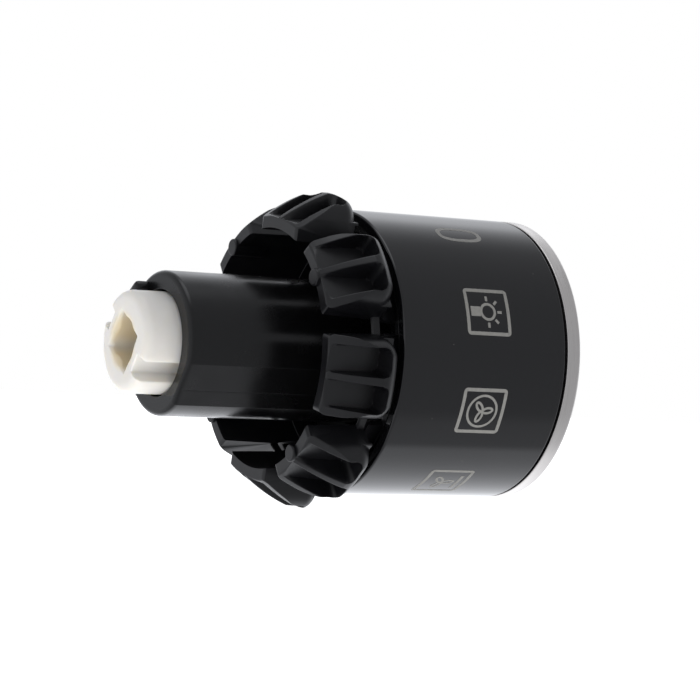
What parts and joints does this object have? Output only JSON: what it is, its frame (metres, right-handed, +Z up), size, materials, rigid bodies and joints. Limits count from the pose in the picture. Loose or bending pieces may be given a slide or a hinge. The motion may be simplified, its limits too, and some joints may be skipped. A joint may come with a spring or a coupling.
{
  "type": "pop-out oven selector knob",
  "caption": "Push-in, pop-out oven selector knob: gloss barrel with steel face, snap-finger collar behind it and a sprung drive tube with a square spindle socket",
  "frame": {"origin": "on the knob's axis, in the plane where the snap fingers' shoulders meet the back of the panel, with the knob popped out", "axes": "+Y along the knob's axis from the steel face to the spindle end, so the face looks along -Y; +Z up in the picture; +X completes a right-handed frame"},
  "size_m": [0.0444, 0.0611, 0.0444],
  "materials": {
    "gloss_black": "polished black moulding with pale grey printed symbols",
    "satin_black": "satin black moulding",
    "black_polyamide": "smooth black moulding with a slight sheen",
    "brushed_stainless": "brushed stainless sheet",
    "spring_steel": "drawn spring steel",
    "natural_acetal": "natural white acetal, slightly translucent",
    "soft_rubber": "soft moulded rubber",
    "adhesive_film": "double-sided adhesive film"
  },
  "bodies": {
    "collar": {"snap_collar": "satin_black"},
    "knob": {"barrel": "gloss_black", "face_cap": "brushed_stainless", "bond_disc": "adhesive_film", "front_carrier": "black_polyamide", "buffer_ring": "soft_rubber", "guide_plate": "black_polyamide", "retaining_ring": "black_polyamide", "return_spring": "spring_steel", "latch_leaf": "spring_steel", "leaf_screw": "spring_steel"},
    "hub": {"drive_tube": "black_polyamide", "spring_washer": "spring_steel", "spindle_insert": "natural_acetal", "spindle_clip": "spring_steel"},
    "latch": {"latch_pin": "spring_steel"}
  },
  "joints": [
    {"name": "knob_turn", "type": "hinge", "parent": "collar", "child": "knob", "pos_m": [0, 0, 0], "axis": [0, 1, 0], "continuous": true},
    {"name": "push", "type": "slide", "parent": "knob", "child": "hub", "axis": [0, -1, 0], "range_m": [0, 0.015], "stiffness_N_per_m": 300, "springref_m": -0.012, "deforming": ["return_spring"]},
    {"name": "latch_swing", "type": "hinge", "parent": "knob", "child": "latch", "pos_m": [0.01215, -0.02225, 0], "axis": [1, 0, 0], "range_deg": [0, 7]}
  ],
  "couplings": [
    {"joint": "latch_swing", "follows": "push", "rad_per_m": 8.14}
  ]
}
